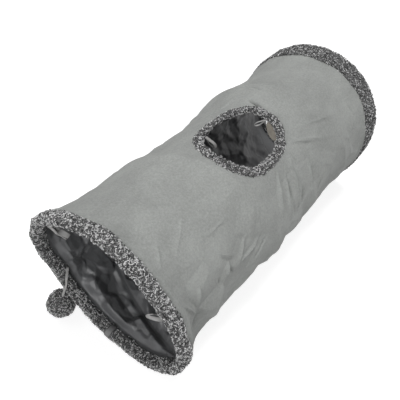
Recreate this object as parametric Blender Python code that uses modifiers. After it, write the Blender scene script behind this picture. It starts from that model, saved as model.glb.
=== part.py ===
"""A collapsible cat tunnel: a cloth tube on a spring-steel spiral, with a peek hole and a hanging ball.

Metres. The tunnel lies along Y with its near mouth facing -Y, +Z is up and z = 0 is the floor it lies on.
"""

import math

import bmesh
import bpy
from mathutils import Matrix, Vector

# Overall sizes
HOOP_RADIUS = 0.141  # centreline of both end hoops
HOOP_SPACING = 0.608  # between the planes of the two hoops, tunnel open
FIT_GAP = 0.0003  # between pieces that touch
FLOOR_CUT = 0.0005  # how deep the fleece is pressed flat where it lies on the floor

# Spring steel
WIRE_DIAMETER = 0.003
LAP_GAP = 0.0004  # between the end of the spiral and the hoop it lies beside
SPIRAL_INSET = 0.0025  # the spiral is wound this much smaller than the hoops
INSET_EASE = 0.06  # length over which it reaches that
CRIMP_WALL = 0.0008
CRIMP_LENGTH = 0.012

# Turns of the spiral, in stations. All that goes round the tube has its corners at the stations.
STATIONS = 36
START_STATION = 1  # counted down from the +X side of the near hoop
SPIRAL_STATIONS = 88
LAP_STATIONS = 2

# Cloth
COVER_THICKNESS = 0.0012
LINING_THICKNESS = 0.0008
SLEEVE_WALL = 0.0006
LAYER_GAP = 0.0005  # between the two cloths, away from the wire
RIDGE_HALF = 0.006  # half width of the ridge that the wire raises
RIDGE_SLOPE = 0.008  # width over which the cloths close up beside it
SAG = 0.012  # how far the cloth falls in between two turns of the spiral
MID_ROW = 0.07  # distance from the wire of one more row of corners
SNAP = 0.0035  # a row of corners this near a band is moved to where the cloth becomes straight

# Fleece bands
ROLL = 0.0087  # from the hoop's wire to the outside of the fleece
NEAR_REACH = 0.0155  # how far the near band covers the tube, from its hoop
FAR_REACH = 0.041
BAND_EDGE = 0.0025  # rounding of a band's edges
BAND_MARGIN = 0.0015  # the cloth stays straight this far past a band
NOSE_STEPS = 6

# Peek hole
HOLE_FROM_HOOP = 0.284  # from the near hoop's plane to the hole's centre
HOLE_TILT = math.radians(77.5)  # from +X, so that it opens a little towards the +X side
HOLE_HALF_LENGTH = 0.0755
HOLE_HALF_WIDTH = 0.0645  # along the curved cloth
HOLE_SQUARENESS = 2.2  # exponent of its outline, 2 for an ellipse
HOLE_ROLL_HALF_WIDTH = 0.0085
HOLE_ROLL_HALF_HEIGHT = 0.0068
HOLE_STATIONS = 32
HOLE_SECTION = 10
CUTTER_DEPTH = 0.045  # how far the hole's cutter reaches to each side of the cloth

# Ribbons, loops and tag
RIBBON_THICKNESS = 0.0008
RIBBON_LIFT = 0.0008  # a ribbon lies this far off the fleece's facets
UPPER_LOOP_TURN = math.radians(148)
UPPER_LOOP_WIDTH = 0.008
UPPER_LOOP_GAP = 0.004
UPPER_LOOP_HANG = Vector((0.026, 0.001, -0.018))
SIDE_LOOP_TURN = math.radians(22)
SIDE_LOOP_WIDTH = 0.004
SIDE_LOOP_GAP = 0.0095
SIDE_LOOP_HANG = Vector((-0.038, -0.014, -0.0141))
MOUTH_LOOP_SET_BACK = 0.013  # from the near hoop's plane to the mouth loops' ends
HOLE_NEAR_LOOP_SHARE = 0.34  # of the way round the hole
HOLE_NEAR_LOOP_WIDTH = 0.005
HOLE_NEAR_LOOP_GAP = 0.0095
HOLE_NEAR_LOOP_HANG = Vector((0.0146, 0.0073, -0.018))
HOLE_FAR_LOOP_SHARE = 0.99
HOLE_FAR_LOOP_WIDTH = 0.0025
HOLE_FAR_LOOP_GAP = 0.0065
HOLE_FAR_LOOP_HANG = Vector((-0.0138, -0.006, -0.0163))
TAG_LENGTH = 0.038
TAG_WIDTH = 0.0125
TAG_THICKNESS = 0.0012
TAG_CLEAR = 0.0007  # the rim is curved, so its middle stays this much further off
TAG_SHARE = 0.915
STRAP_TURN = math.radians(-100)
STRAP_WIDTH = 0.012
STRAP_THICKNESS = 0.0012
STRAP_REACH = 0.011  # how far it runs back inside the mouth
STRAP_END = math.radians(-30)  # where it ends on the outside of the roll
STRAP_STEPS = 7

# Hanging ball
BALL_RADIUS = 0.025
BALL_CENTRE_X = -0.1245
BALL_FROM_HOOP = 0.0182  # how far the ball lies in front of the near hoop's plane
BALL_SEGMENTS = 20
BALL_RINGS = 12
BALL_RIBBON_WIDTH = 0.0045
BALL_RIBBON_TURN = math.radians(-158)
BALL_RIBBON_SET_BACK = 0.0124
BALL_RIBBON_CLEAR = 0.0012  # its centre runs this far off the roll
BALL_RIBBON_STEPS = 5
BALL_RIBBON_LEAVES = 0.009  # how far below the roll's front it hangs free

# Shares of a loop's length and of half its gap, from its ends to its tip
LOOP_SHARES = ((0.0, 0.25), (0.3, 0.6), (0.6, 1.0), (0.86, 0.78), (1.0, 0.0))

# Sizes that follow
WIRE_RADIUS = WIRE_DIAMETER / 2
WIRE_STEP = WIRE_DIAMETER + LAP_GAP
WIRE_SIDES = 6
SLEEVE_RADIUS = (WIRE_RADIUS + FIT_GAP + SLEEVE_WALL) / math.cos(math.pi / WIRE_SIDES)
CHANNEL = 2 * (SLEEVE_RADIUS + FIT_GAP)  # between the cloths at the wire
AXIS_HEIGHT = HOOP_RADIUS + ROLL - FLOOR_CUT
NEAR_Y = -HOOP_SPACING / 2
FAR_Y = HOOP_SPACING / 2
NEAR_FLAT_Y = NEAR_Y + NEAR_REACH + BAND_MARGIN
FAR_FLAT_Y = FAR_Y - FAR_REACH - BAND_MARGIN
STATION_ANGLE = 2 * math.pi / STATIONS
PITCH = (HOOP_SPACING - 2 * WIRE_STEP) * STATIONS / SPIRAL_STATIONS
BAND_FACET_RADIUS = (HOOP_RADIUS - ROLL) * math.cos(STATION_ANGLE / 2)  # where a band's inside is flat
FREE_SPAN = PITCH - 2 * RIDGE_HALF
ROW_OFFSETS = (
    -PITCH / 2,
    -MID_ROW,
    -RIDGE_HALF - RIDGE_SLOPE,
    -RIDGE_HALF,
    RIDGE_HALF,
    RIDGE_HALF + RIDGE_SLOPE,
    MID_ROW,
)

# Colour, roughness and metallic value
LOOKS = {
    "suede": ((0.30, 0.30, 0.29, 1.0), 0.95, 0.0),
    "lining": ((0.035, 0.035, 0.037, 1.0), 0.55, 0.0),
    "fleece": ((0.12, 0.12, 0.13, 1.0), 1.0, 0.0),
    "ribbon": ((0.22, 0.22, 0.22, 1.0), 0.6, 0.0),
    "tag": ((0.42, 0.38, 0.30, 1.0), 0.8, 0.0),
    "sleeve": ((0.02, 0.02, 0.02, 1.0), 0.9, 0.0),
    "steel": ((0.55, 0.56, 0.58, 1.0), 0.35, 1.0),
}


def clear_scene():
    for old in list(bpy.data.objects):
        bpy.data.objects.remove(old, do_unlink=True)


def new_collection(name):
    collection = bpy.data.collections.new(name)
    bpy.context.scene.collection.children.link(collection)
    return collection


def material(name):
    colour, roughness, metallic = LOOKS[name]
    made = bpy.data.materials.get(name) or bpy.data.materials.new(name)
    made.use_nodes = True
    shader = made.node_tree.nodes["Principled BSDF"]
    shader.inputs["Base Color"].default_value = colour
    shader.inputs["Roughness"].default_value = roughness
    shader.inputs["Metallic"].default_value = metallic
    made.diffuse_color = colour
    return made


def add_part(name, data, look):
    """Puts a mesh or curve in the part's collection as one named piece."""
    piece = bpy.data.objects.new(name, data)
    parts.objects.link(piece)
    data.materials.append(material(look))
    if isinstance(data, bpy.types.Mesh):
        data.shade_smooth()
    return piece


def add_cutter(name, data):
    cutter = bpy.data.objects.new(name, data)
    cutters.objects.link(cutter)
    cutter.hide_render = True
    cutter.display_type = "WIRE"
    return cutter


def cut(piece, cutter):
    boolean = piece.modifiers.new(cutter.name, "BOOLEAN")
    boolean.operation = "DIFFERENCE"
    boolean.object = cutter


def mesh_of(bm, name):
    bmesh.ops.recalc_face_normals(bm, faces=bm.faces)
    mesh = bpy.data.meshes.new(name)
    bm.to_mesh(mesh)
    bm.free()
    return mesh


def polar(radius, angle, y):
    """A point at an angle from +X towards +Z about the tunnel's axis."""
    return Vector((radius * math.cos(angle), y, AXIS_HEIGHT + radius * math.sin(angle)))


def outward(angle):
    return Vector((math.cos(angle), 0, math.sin(angle)))


# The spiral's path and the cloth that hangs on it
def spiral_angle(station):
    return -(START_STATION + station) * STATION_ANGLE


def station_at(angle):
    return -angle / STATION_ANGLE - START_STATION


def spiral_y(station):
    turned = min(max(station, 0), SPIRAL_STATIONS)
    return NEAR_Y + WIRE_STEP + PITCH * turned / STATIONS


def inset(y):
    """How much smaller than the hoops the spiral is wound at y."""
    from_band = min(y - NEAR_FLAT_Y, FAR_FLAT_Y - y)
    return SPIRAL_INSET * min(1, max(0, from_band / INSET_EASE))


def spiral_point(station):
    y = spiral_y(station)
    return polar(HOOP_RADIUS - inset(y), spiral_angle(station), y)


def span_at(station, y):
    """The free span of cloth at y: where it starts and ends, between turns of wire or the bands."""
    held = [(-math.inf, NEAR_FLAT_Y), (FAR_FLAT_Y, math.inf)]
    turn = station % STATIONS
    while turn <= SPIRAL_STATIONS:
        held.append((spiral_y(turn) - RIDGE_HALF, spiral_y(turn) + RIDGE_HALF))
        turn += STATIONS
    start = max(last for first, last in held if first <= y)
    end = min(first for first, last in held if last >= y)
    return start, end


def sag_at(station, y):
    start, end = span_at(station, y)
    if not start < y < end:
        return 0
    share = (y - start) / (end - start)
    return SAG * min(1, (end - start) / FREE_SPAN) ** 2 * 4 * share * (1 - share)


def layer_gap_at(station, y):
    start, end = span_at(station, y)
    beside = max(0, min(y - start, end - y))
    return max(LAYER_GAP, CHANNEL - (CHANNEL - LAYER_GAP) * beside / RIDGE_SLOPE)


def cover_outside(station, y):
    return HOOP_RADIUS - inset(y) + CHANNEL / 2 + COVER_THICKNESS - sag_at(station, y)


def cover_inside(station, y):
    return cover_outside(station, y) - COVER_THICKNESS


def lining_outside(station, y):
    return cover_inside(station, y) - layer_gap_at(station, y)


def lining_inside(station, y):
    return lining_outside(station, y) - LINING_THICKNESS


def wall_outside(station, y):
    return cover_outside(station, y) + FIT_GAP


def wall_inside(station, y):
    return lining_inside(station, y) - FIT_GAP


def gathered(y):
    """Rows of corners that lie past the free cloth, or nearly so, are gathered at its edge."""
    if y < NEAR_FLAT_Y + SNAP:
        return NEAR_FLAT_Y
    if y > FAR_FLAT_Y - SNAP:
        return FAR_FLAT_Y
    return y


def add_skin(bm, radius_at):
    """Adds one side of a cloth tube, an open sheet whose rows of corners wind along the spiral."""
    corners = {}
    steps = range(-STATIONS, SPIRAL_STATIONS + STATIONS + 1)
    for step in steps:
        for row, offset in enumerate(ROW_OFFSETS):
            y = gathered(NEAR_Y + WIRE_STEP + PITCH * step / STATIONS + offset)
            corners[step, row] = bm.verts.new(polar(radius_at(step, y), spiral_angle(step), y))
    for step in steps:
        for row in range(len(ROW_OFFSETS)):
            # The last row of one turn meets the first row of the next.
            above = (step, row + 1) if row + 1 < len(ROW_OFFSETS) else (step + STATIONS, 0)
            beyond = (above[0] + 1, above[1])
            beside = (step + 1, row)
            if beyond in corners:
                # All the skins are split along the same diagonals, so that they lie parallel.
                bm.faces.new([corners[corner] for corner in ((step, row), above, beside)])
                bm.faces.new([corners[corner] for corner in (above, beyond, beside)])


def open_edges_at(bm, y):
    return [e for e in bm.edges if e.is_boundary and all(abs(v.co.y - y) < SNAP / 2 for v in e.verts)]


def close_rim(bm, y):
    """Joins the two skins with a ring of faces where they end at y."""
    centre = Vector((0, y, AXIS_HEIGHT))
    pairs = [[] for station in range(STATIONS)]
    for corner in bm.verts:
        if corner.is_boundary and abs(corner.co.y - y) < SNAP / 2:
            spoke = corner.co - centre
            pairs[round(math.atan2(spoke.z, spoke.x) / STATION_ANGLE) % STATIONS].append(corner)
    for pair in pairs:
        pair.sort(key=lambda corner: (corner.co - centre).length)
    for station, (inner, outer) in enumerate(pairs):
        after = pairs[(station + 1) % STATIONS]
        bm.faces.new((inner, outer, after[1], after[0]))


def cloth_tube(name, outside, inside):
    """A closed wall between two skins, straight within the bands and ending at the hoops."""
    bm = bmesh.new()
    add_skin(bm, outside)
    add_skin(bm, inside)
    bmesh.ops.remove_doubles(bm, verts=bm.verts, dist=FIT_GAP)
    for flat_y, end_y in ((NEAR_FLAT_Y, NEAR_Y), (FAR_FLAT_Y, FAR_Y)):
        drawn = bmesh.ops.extrude_edge_only(bm, edges=open_edges_at(bm, flat_y))
        for corner in drawn["geom"]:
            if isinstance(corner, bmesh.types.BMVert):
                corner.co.y = end_y
        close_rim(bm, end_y)
    return mesh_of(bm, name)


# The peek hole
def hole_place(share, grow):
    """The angle and y of a point on the hole's outline, grown outwards along the cloth."""
    turn = 2 * math.pi * share
    power = 2 / HOLE_SQUARENESS
    along = math.copysign(abs(math.cos(turn)) ** power, math.cos(turn)) * (HOLE_HALF_LENGTH + grow)
    around = math.copysign(abs(math.sin(turn)) ** power, math.sin(turn)) * (HOLE_HALF_WIDTH + grow)
    return HOLE_TILT + around / HOOP_RADIUS, NEAR_Y + HOLE_FROM_HOOP + along


def hole_point(share, grow):
    """The same point in space, halfway through the cloth."""
    angle, y = hole_place(share, grow)
    station = station_at(angle)
    return polar((cover_outside(station, y) + lining_inside(station, y)) / 2, angle, y)


def hole_cutter(name, grow):
    """A straight prism over the hole's outline, square to the cloth at the hole's middle."""
    bm = bmesh.new()
    up = outward(HOLE_TILT)
    rings = []
    for height in (HOOP_RADIUS - CUTTER_DEPTH, HOOP_RADIUS + CUTTER_DEPTH):
        base = Vector((0, 0, AXIS_HEIGHT)) + up * height
        outline = [hole_point(step / HOLE_STATIONS, grow) for step in range(HOLE_STATIONS)]
        rings.append([bm.verts.new(point - up * (point - base).dot(up)) for point in outline])
    for step in range(HOLE_STATIONS):
        after = (step + 1) % HOLE_STATIONS
        bm.faces.new((rings[0][step], rings[0][after], rings[1][after], rings[1][step]))
    for ring in rings:
        bm.faces.new(ring)
    return add_cutter(name, mesh_of(bm, name))


def peek_hole_roll(name):
    """The solid roll round the hole, before the cloth is let into it."""
    bm = bmesh.new()
    rings = []
    for step in range(HOLE_STATIONS):
        centre = hole_point(step / HOLE_STATIONS, 0)
        ahead = hole_point((step + 1) / HOLE_STATIONS, 0) - hole_point((step - 1) / HOLE_STATIONS, 0)
        up = outward(hole_place(step / HOLE_STATIONS, 0)[0])
        side = ahead.cross(up).normalized()
        ring = []
        for corner in range(HOLE_SECTION):
            turn = 2 * math.pi * corner / HOLE_SECTION
            across = side * HOLE_ROLL_HALF_WIDTH * math.cos(turn)
            ring.append(bm.verts.new(centre + across + up * HOLE_ROLL_HALF_HEIGHT * math.sin(turn)))
        rings.append(ring)
    for step in range(HOLE_STATIONS):
        this, after = rings[step], rings[(step + 1) % HOLE_STATIONS]
        for corner in range(HOLE_SECTION):
            beside = (corner + 1) % HOLE_SECTION
            bm.faces.new((this[corner], this[beside], after[beside], after[corner]))
    return mesh_of(bm, name)


# The fleece bands round the hoops
def arc(centre, radius, first, last, steps):
    """Points between two angles, both ends left out."""
    turns = [first + (last - first) * step / steps for step in range(1, steps)]
    return [(centre + radius * math.cos(turn), radius * math.sin(turn)) for turn in turns]


def band_profile(reach):
    """Section of a band: a roll round the hoop, with a slot between its legs for the cloth.

    Radius from the tunnel's axis, and distance from the hoop towards the middle of the tunnel.
    """
    outside = HOOP_RADIUS + ROLL
    inside = HOOP_RADIUS - ROLL
    slot_out = HOOP_RADIUS + CHANNEL / 2 + COVER_THICKNESS + FIT_GAP
    slot_in = HOOP_RADIUS - CHANNEL / 2 - LINING_THICKNESS - FIT_GAP
    down = [(slot_out, reach), (outside - BAND_EDGE, reach), (outside, reach - BAND_EDGE), (outside, 0)]
    nose = arc(HOOP_RADIUS, ROLL, 0, -math.pi, NOSE_STEPS)
    back = [(inside, 0), (inside, reach - BAND_EDGE), (inside + BAND_EDGE, reach), (slot_in, reach)]
    floor_in = [(slot_in, -FIT_GAP), (HOOP_RADIUS - CHANNEL / 2, -FIT_GAP)]
    groove = arc(HOOP_RADIUS, CHANNEL / 2, -math.pi, 0, NOSE_STEPS)
    floor_out = [(HOOP_RADIUS + CHANNEL / 2, -FIT_GAP), (slot_out, -FIT_GAP)]
    return down + nose + back + floor_in + groove + floor_out


def fleece_band(name, hoop_y, reach, quarter_turn):
    profile = band_profile(reach)
    mesh = bpy.data.meshes.new(name)
    edges = [(step, (step + 1) % len(profile)) for step in range(len(profile))]
    mesh.from_pydata([(radius, 0, along) for radius, along in profile], edges, [])
    band = add_part(name, mesh, "fleece")
    band.location = (0, hoop_y, AXIS_HEIGHT)
    band.rotation_euler = (quarter_turn, 0, 0)
    turned = band.modifiers.new("turned", "SCREW")
    turned.steps = STATIONS
    turned.render_steps = STATIONS
    turned.use_merge_vertices = True
    turned.merge_threshold = FIT_GAP / 10
    turned.use_smooth_shade = True
    cut(band, floor)
    return band


def floor_cutter():
    """A block below the floor, wide enough for everything."""
    bm = bmesh.new()
    size = 2 * (HOOP_SPACING + HOOP_RADIUS)
    block = Matrix.Translation((0, 0, -size / 2)) @ Matrix.Diagonal((size, size, size, 1))
    bmesh.ops.create_cube(bm, size=1, matrix=block)
    return add_cutter("floor", mesh_of(bm, "floor"))


# Steel
def hoop(name, hoop_y):
    bpy.ops.mesh.primitive_torus_add(
        major_segments=STATIONS,
        minor_segments=WIRE_SIDES,
        major_radius=HOOP_RADIUS,
        minor_radius=WIRE_RADIUS,
        location=(0, hoop_y, AXIS_HEIGHT),
        rotation=(math.pi / 2, 0, 0),
    )
    made = bpy.context.object
    made.name = name
    made.data.materials.append(material("steel"))
    made.data.shade_smooth()
    for collection in made.users_collection:
        collection.objects.unlink(made)
    parts.objects.link(made)


def wound_tube(name, first, last, radius, capped):
    """A curve along the spiral's stations, as round wire or an open tube."""
    curve = bpy.data.curves.new(name, "CURVE")
    curve.dimensions = "3D"
    spline = curve.splines.new("POLY")
    spline.points.add(last - first)
    for point, station in zip(spline.points, range(first, last + 1)):
        point.co = (*spiral_point(station), 1)
    curve.bevel_depth = radius
    curve.bevel_resolution = (WIRE_SIDES - 4) // 2
    curve.use_fill_caps = capped
    return curve


def coil_sleeve(name):
    """The woven sleeve on the spiral, open at both ends, from one band to the other."""
    clear = SLEEVE_RADIUS + FIT_GAP
    stations = range(SPIRAL_STATIONS + 1)
    free = [s for s in stations if NEAR_FLAT_Y + clear < spiral_y(s) < FAR_FLAT_Y - clear]
    curve = wound_tube(name, free[0], free[-1], SLEEVE_RADIUS, False)
    guide = add_cutter(name + "_guide", curve)
    bpy.context.view_layer.update()
    seen = guide.evaluated_get(bpy.context.evaluated_depsgraph_get())
    mesh = bpy.data.meshes.new_from_object(seen)
    bpy.data.objects.remove(guide, do_unlink=True)
    sleeve = add_part(name, mesh, "sleeve")
    wall = sleeve.modifiers.new("wall", "SOLIDIFY")
    wall.thickness = SLEEVE_WALL
    wall.offset = -1
    return sleeve


def stadium(spline, radius, half_step, sides):
    """A slot-shaped outline: two half circles, half_step to each side of the middle."""
    points = []
    for end, first in ((half_step, 0), (-half_step, math.pi)):
        for step in range(sides + 1):
            turn = first + math.pi * step / sides
            points.append((radius * math.cos(turn), end + radius * math.sin(turn)))
    spline.points.add(len(points) - 1)
    for point, (x, y) in zip(spline.points, points):
        point.co = (x, y, 0, 1)
    spline.use_cyclic_u = True


def crimp(name, station, hoop_y, towards):
    """A pressed oval sleeve that holds a hoop and the spiral's end, on a straight stretch of both."""
    curve = bpy.data.curves.new(name, "CURVE")
    curve.dimensions = "2D"
    curve.fill_mode = "BOTH"
    bore = WIRE_RADIUS + FIT_GAP
    for radius in (bore + CRIMP_WALL, bore):
        stadium(curve.splines.new("POLY"), radius, WIRE_STEP / 2, WIRE_SIDES)
    curve.extrude = CRIMP_LENGTH / 2
    made = add_part(name, curve, "steel")
    angle = spiral_angle(station)
    across = outward(angle)
    along = Vector((0, 1, 0))
    turned = Matrix((across, along, across.cross(along))).transposed().to_4x4()
    centre = polar(HOOP_RADIUS * math.cos(STATION_ANGLE / 2), angle, hoop_y + towards * WIRE_STEP / 2)
    made.matrix_world = Matrix.Translation(centre) @ turned


# Ribbons
def ribbon(name, path, width, thickness, look):
    """A flat strip along a path of points, each with the direction that its face looks in."""
    bm = bmesh.new()
    rows = []
    for step, (centre, facing) in enumerate(path):
        ahead = path[min(step + 1, len(path) - 1)][0] - path[max(step - 1, 0)][0]
        side = ahead.cross(facing).normalized() * width / 2
        rows.append((bm.verts.new(centre - side), bm.verts.new(centre + side)))
    for this, after in zip(rows, rows[1:]):
        bm.faces.new((this[0], this[1], after[1], after[0]))
    mesh = bpy.data.meshes.new(name)
    bm.to_mesh(mesh)
    bm.free()
    strip = add_part(name, mesh, look)
    wall = strip.modifiers.new("wall", "SOLIDIFY")
    wall.thickness = thickness
    wall.offset = 0
    wall.use_even_offset = True
    return strip


def ribbon_loop(name, root, hang, axis, width, gap):
    """A ribbon folded into a loop that hangs from its two ends. The axis runs through the loop."""
    spread = axis.cross(hang).normalized()
    out = [(root + hang * along + spread * gap / 2 * half, spread) for along, half in LOOP_SHARES]
    home = [(root + hang * along - spread * gap / 2 * half, -spread) for along, half in LOOP_SHARES[-2::-1]]
    out[-1] = (out[-1][0], hang.normalized())
    ribbon(name, out + home, width, RIBBON_THICKNESS, "ribbon")


def mouth_loop(name, turn, hang, width, gap):
    # A loop that leans forwards is sewn on by one corner of its ends.
    lean = abs(hang.normalized().y) * width / 2
    root = polar(BAND_FACET_RADIUS - FIT_GAP - lean, turn, NEAR_Y + MOUTH_LOOP_SET_BACK)
    ribbon_loop(name, root, hang, Vector((0, 1, 0)), width, gap)


def hole_loop(name, share, hang, width, gap):
    ends = (gap * LOOP_SHARES[0][1] + RIBBON_THICKNESS) / 2
    root = hole_point(share, -HOLE_ROLL_HALF_WIDTH - FIT_GAP - ends)
    axis = hang.cross(outward(hole_place(share, 0)[0]))
    ribbon_loop(name, root, hang, axis, width, gap)


def tie_strap(name):
    """A striped strap that lies over the near band from inside the mouth to its underside."""
    off = ROLL + STRAP_THICKNESS / 2 + RIBBON_LIFT
    up = outward(STRAP_TURN)
    path = [(polar(HOOP_RADIUS - off, STRAP_TURN, NEAR_Y + STRAP_REACH), -up)]
    for step in range(STRAP_STEPS + 1):
        turn = -math.pi + (math.pi + STRAP_END) * step / STRAP_STEPS
        facing = up * math.cos(turn) + Vector((0, math.sin(turn), 0))
        path.append((polar(HOOP_RADIUS, STRAP_TURN, NEAR_Y) + facing * off, facing))
    ribbon(name, path, STRAP_WIDTH, STRAP_THICKNESS, "ribbon")


def ball_ribbon(name):
    """Sewn inside the near band, it comes over the roll, leaves its front and hangs to the ball."""
    off = ROLL + BALL_RIBBON_CLEAR
    root = polar(HOOP_RADIUS - off, BALL_RIBBON_TURN, NEAR_Y)
    path = [(ribbon_end, -outward(BALL_RIBBON_TURN))]
    for step in range(BALL_RIBBON_STEPS + 1):
        turn = math.pi - math.pi / 2 * step / BALL_RIBBON_STEPS
        radius = HOOP_RADIUS + off * math.cos(turn)
        # It falls straight down, so it crosses the roll aslant.
        angle = -math.pi + math.acos(-root.x / radius)
        facing = outward(angle) * math.cos(turn) - Vector((0, math.sin(turn), 0))
        path.append((polar(HOOP_RADIUS, angle, NEAR_Y) + facing * off, facing))
    front = Vector((0, -1, 0))
    path.append((path[-1][0] - Vector((0, 0, BALL_RIBBON_LEAVES)), front))
    path.append((ball_centre + Vector((0, 0, BALL_RADIUS + FIT_GAP)), front))
    ribbon(name, path, BALL_RIBBON_WIDTH, RIBBON_THICKNESS, "ribbon")


def toy_ball(name):
    bm = bmesh.new()
    bmesh.ops.create_uvsphere(bm, u_segments=BALL_SEGMENTS, v_segments=BALL_RINGS, radius=BALL_RADIUS)
    ball = add_part(name, mesh_of(bm, name), "fleece")
    ball.location = ball_centre


def hole_tag(name):
    """A blank leaf-shaped tag, held at the rim of the peek hole."""
    curve = bpy.data.curves.new(name, "CURVE")
    curve.dimensions = "2D"
    curve.fill_mode = "BOTH"
    curve.extrude = TAG_THICKNESS / 2
    spline = curve.splines.new("POLY")
    spline.points.add(2 * HOLE_SECTION - 1)
    for step, point in enumerate(spline.points):
        turn = math.pi * step / HOLE_SECTION
        point.co = (TAG_LENGTH / 2 * math.cos(turn), TAG_WIDTH / 2 * math.sin(turn), 0, 1)
    spline.use_cyclic_u = True
    tag = add_part(name, curve, "tag")
    grow = -HOLE_ROLL_HALF_WIDTH - FIT_GAP - TAG_CLEAR - TAG_WIDTH / 2
    rim = 1 / HOLE_STATIONS
    along = (hole_point(TAG_SHARE + rim, grow) - hole_point(TAG_SHARE - rim, grow)).normalized()
    up = outward(hole_place(TAG_SHARE, grow)[0])
    across = up.cross(along).normalized()
    turned = Matrix((along, across, along.cross(across))).transposed().to_4x4()
    tag.matrix_world = Matrix.Translation(hole_point(TAG_SHARE, grow)) @ turned


def move_together(name, pivot, names):
    """Parents pieces that move as one to an empty on their joint's axis."""
    empty = bpy.data.objects.new(name, None)
    parts.objects.link(empty)
    empty.location = pivot
    for piece in names:
        bpy.data.objects[piece].parent = empty
        bpy.data.objects[piece].matrix_parent_inverse = Matrix.Translation(-pivot)


def least_gap_to_itself():
    """The least gap between one turn of the spiral and the next, and to the hoops beyond the laps."""
    points = [spiral_point(station) for station in range(SPIRAL_STATIONS + 1)]
    half_turn = STATIONS // 2
    spans = [(a - b).length for i, a in enumerate(points) for b in points[i + half_turn :]]
    return min(spans) - WIRE_DIAMETER


clear_scene()
parts = new_collection("cat_tunnel")
cutters = new_collection("cutters")
floor = floor_cutter()
cloth_hole = hole_cutter("cloth_hole", 0)
slot_hole = hole_cutter("slot_hole", -FIT_GAP)
ball_centre = Vector((BALL_CENTRE_X, NEAR_Y - BALL_FROM_HOOP, BALL_RADIUS))
ribbon_end = polar(
    HOOP_RADIUS - ROLL - BALL_RIBBON_CLEAR, BALL_RIBBON_TURN, NEAR_Y + BALL_RIBBON_SET_BACK
)

cover = add_part("outer_cover", cloth_tube("outer_cover", cover_outside, cover_inside), "suede")
cut(cover, cloth_hole)
lining = add_part("inner_lining", cloth_tube("inner_lining", lining_outside, lining_inside), "lining")
cut(lining, cloth_hole)
slot = add_cutter("slot", cloth_tube("slot", wall_outside, wall_inside))
cut(slot, slot_hole)

fleece_band("near_fleece_band", NEAR_Y, NEAR_REACH, -math.pi / 2)
fleece_band("far_fleece_band", FAR_Y, FAR_REACH, math.pi / 2)
cut(add_part("peek_hole_band", peek_hole_roll("peek_hole_band"), "fleece"), slot)

hoop("near_hoop", NEAR_Y)
hoop("far_hoop", FAR_Y)
lap_end = SPIRAL_STATIONS + LAP_STATIONS
add_part("spring_coil", wound_tube("spring_coil", -LAP_STATIONS, lap_end, WIRE_RADIUS, True), "steel")
coil_sleeve("coil_sleeve")
crimp("near_crimp", -LAP_STATIONS / 2 - 1 / 2, NEAR_Y, 1)
crimp("far_crimp", SPIRAL_STATIONS + LAP_STATIONS / 2 + 1 / 2, FAR_Y, -1)

mouth_loop("near_upper_loop", UPPER_LOOP_TURN, UPPER_LOOP_HANG, UPPER_LOOP_WIDTH, UPPER_LOOP_GAP)
mouth_loop("near_side_loop", SIDE_LOOP_TURN, SIDE_LOOP_HANG, SIDE_LOOP_WIDTH, SIDE_LOOP_GAP)
hole_loop(
    "hole_near_loop", HOLE_NEAR_LOOP_SHARE, HOLE_NEAR_LOOP_HANG, HOLE_NEAR_LOOP_WIDTH, HOLE_NEAR_LOOP_GAP
)
hole_loop("hole_far_loop", HOLE_FAR_LOOP_SHARE, HOLE_FAR_LOOP_HANG, HOLE_FAR_LOOP_WIDTH, HOLE_FAR_LOOP_GAP)
hole_tag("hole_tag")
tie_strap("tie_strap")
ball_ribbon("ball_ribbon")
toy_ball("toy_ball")
move_together("far_end", Vector((0, FAR_Y, AXIS_HEIGHT)), ("far_fleece_band", "far_hoop", "far_crimp"))
move_together("toy", ribbon_end, ("ball_ribbon", "toy_ball"))

print("toy pivot, m:", [round(value, 5) for value in ribbon_end])
print("least gap of the spiral to itself, mm:", round(least_gap_to_itself() * 1000, 1))
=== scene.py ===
"""The looks of the cat tunnel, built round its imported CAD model: cloths, fleece, ribbons and light.

Metres, in the CAD's frame: the tunnel lies along Y, its near mouth faces -Y and the floor is z = 0.
"""

import math

import bpy
import numpy as np
from mathutils import Matrix, Vector


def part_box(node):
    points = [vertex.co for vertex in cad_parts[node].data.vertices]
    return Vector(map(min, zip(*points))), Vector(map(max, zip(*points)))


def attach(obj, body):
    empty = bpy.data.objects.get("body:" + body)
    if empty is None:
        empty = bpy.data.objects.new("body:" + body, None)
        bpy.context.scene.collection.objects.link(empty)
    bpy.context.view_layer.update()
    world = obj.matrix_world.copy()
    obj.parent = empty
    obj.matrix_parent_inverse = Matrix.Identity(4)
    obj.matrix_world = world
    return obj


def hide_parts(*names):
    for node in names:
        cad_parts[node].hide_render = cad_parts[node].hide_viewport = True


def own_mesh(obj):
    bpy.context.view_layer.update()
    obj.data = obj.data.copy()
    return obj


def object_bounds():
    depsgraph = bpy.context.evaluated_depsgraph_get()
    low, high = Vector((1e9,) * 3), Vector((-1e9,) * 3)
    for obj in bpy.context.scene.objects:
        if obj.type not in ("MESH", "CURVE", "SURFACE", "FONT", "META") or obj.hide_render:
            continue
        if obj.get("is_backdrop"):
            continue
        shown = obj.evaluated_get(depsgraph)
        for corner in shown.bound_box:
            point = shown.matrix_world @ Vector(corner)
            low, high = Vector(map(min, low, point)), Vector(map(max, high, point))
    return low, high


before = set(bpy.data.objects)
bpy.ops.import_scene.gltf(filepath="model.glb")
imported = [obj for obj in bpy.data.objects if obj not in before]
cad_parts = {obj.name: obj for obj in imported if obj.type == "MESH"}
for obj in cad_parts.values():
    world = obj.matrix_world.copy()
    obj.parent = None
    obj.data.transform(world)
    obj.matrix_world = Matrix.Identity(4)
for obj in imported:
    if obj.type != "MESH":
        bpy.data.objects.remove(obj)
cad_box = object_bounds()

TURN = 2 * math.pi

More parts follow.
